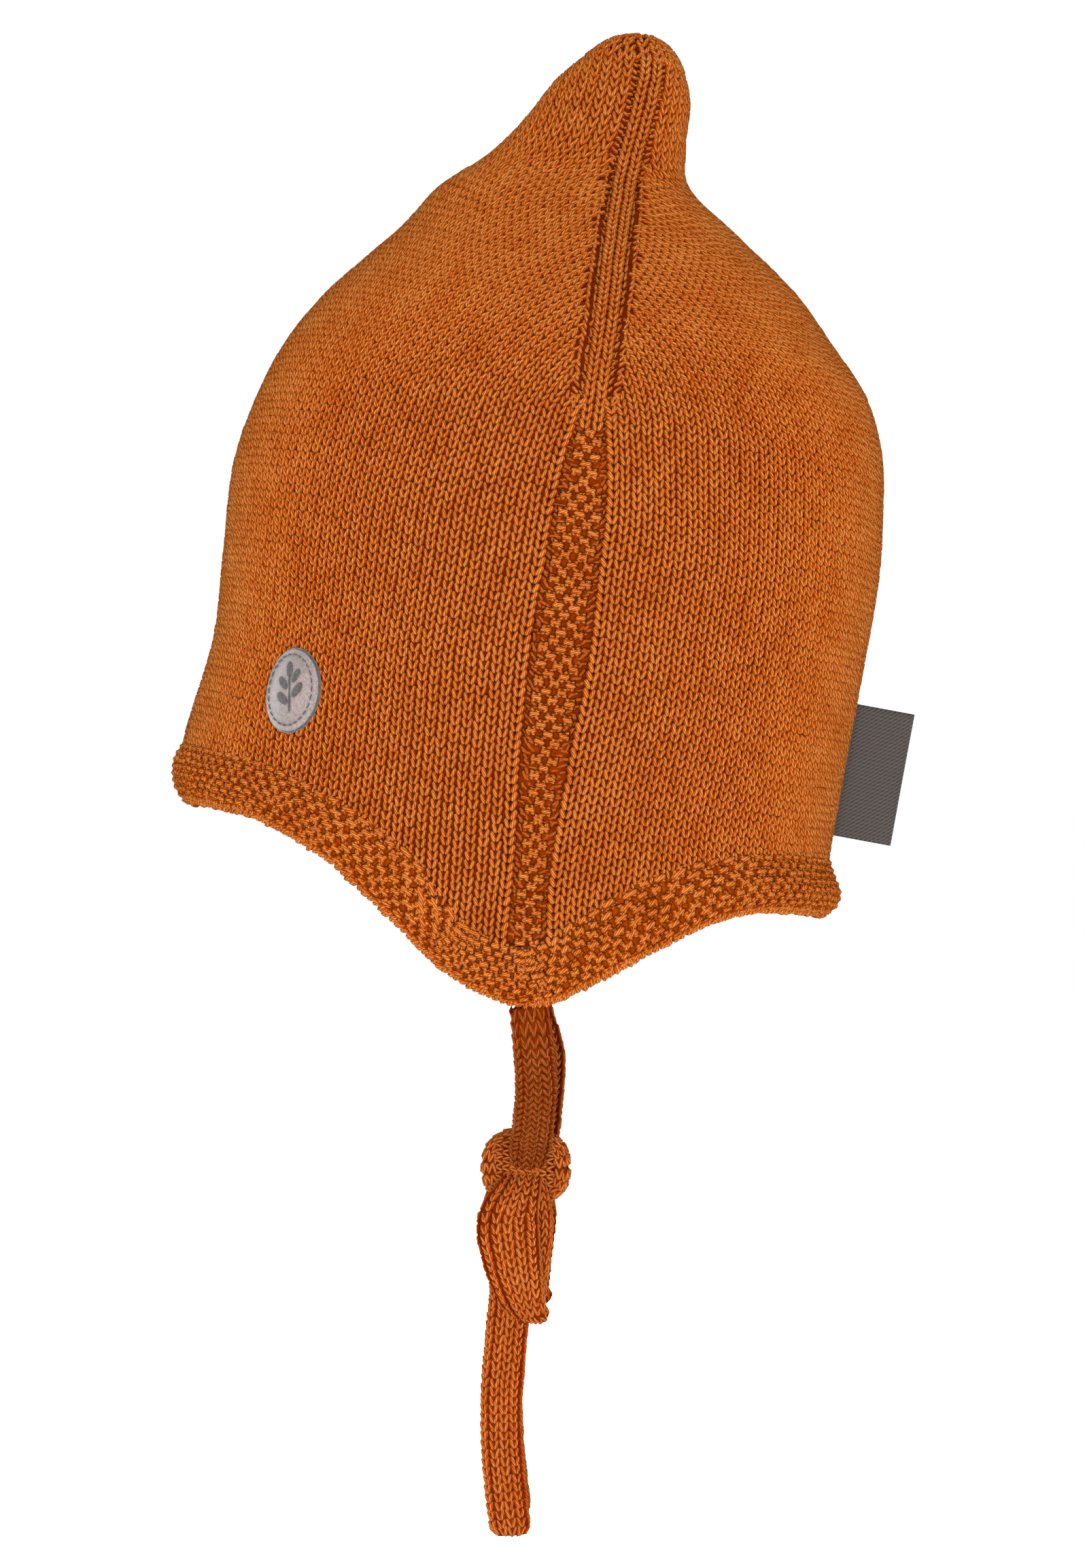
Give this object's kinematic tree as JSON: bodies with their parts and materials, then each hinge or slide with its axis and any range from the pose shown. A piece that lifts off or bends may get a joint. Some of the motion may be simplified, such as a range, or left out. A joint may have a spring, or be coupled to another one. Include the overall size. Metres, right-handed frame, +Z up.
{
  "type": "knitted baby bonnet with ear flaps and chin ties",
  "caption": "Knitted baby bonnet with a pointed peak, ear flaps, pearl-stitch side bands and border, a round felt badge, a woven back tab and chin ties in a bow.",
  "frame": {"origin": "where the top of the wearer's head sits, inside the dome and below the hollow peak", "axes": "+X to the wearer's left, -Y the way the wearer faces, +Z up, with the hat leaning back as worn"},
  "size_m": [0.1352, 0.1688, 0.3416],
  "materials": {
    "ochre_knit": "matte wool",
    "rust_knit": "matte wool",
    "badge_felt": "matte felt",
    "woven_tape": "matte twill"
  },
  "bodies": {
    "root": {"crown": "ochre_knit", "side_band_left": "ochre_knit", "side_band_right": "ochre_knit", "hem_border": "ochre_knit", "badge": "badge_felt", "back_tab": "woven_tape", "tie_left": "rust_knit", "tie_right": "rust_knit"}
  },
  "joints": []
}
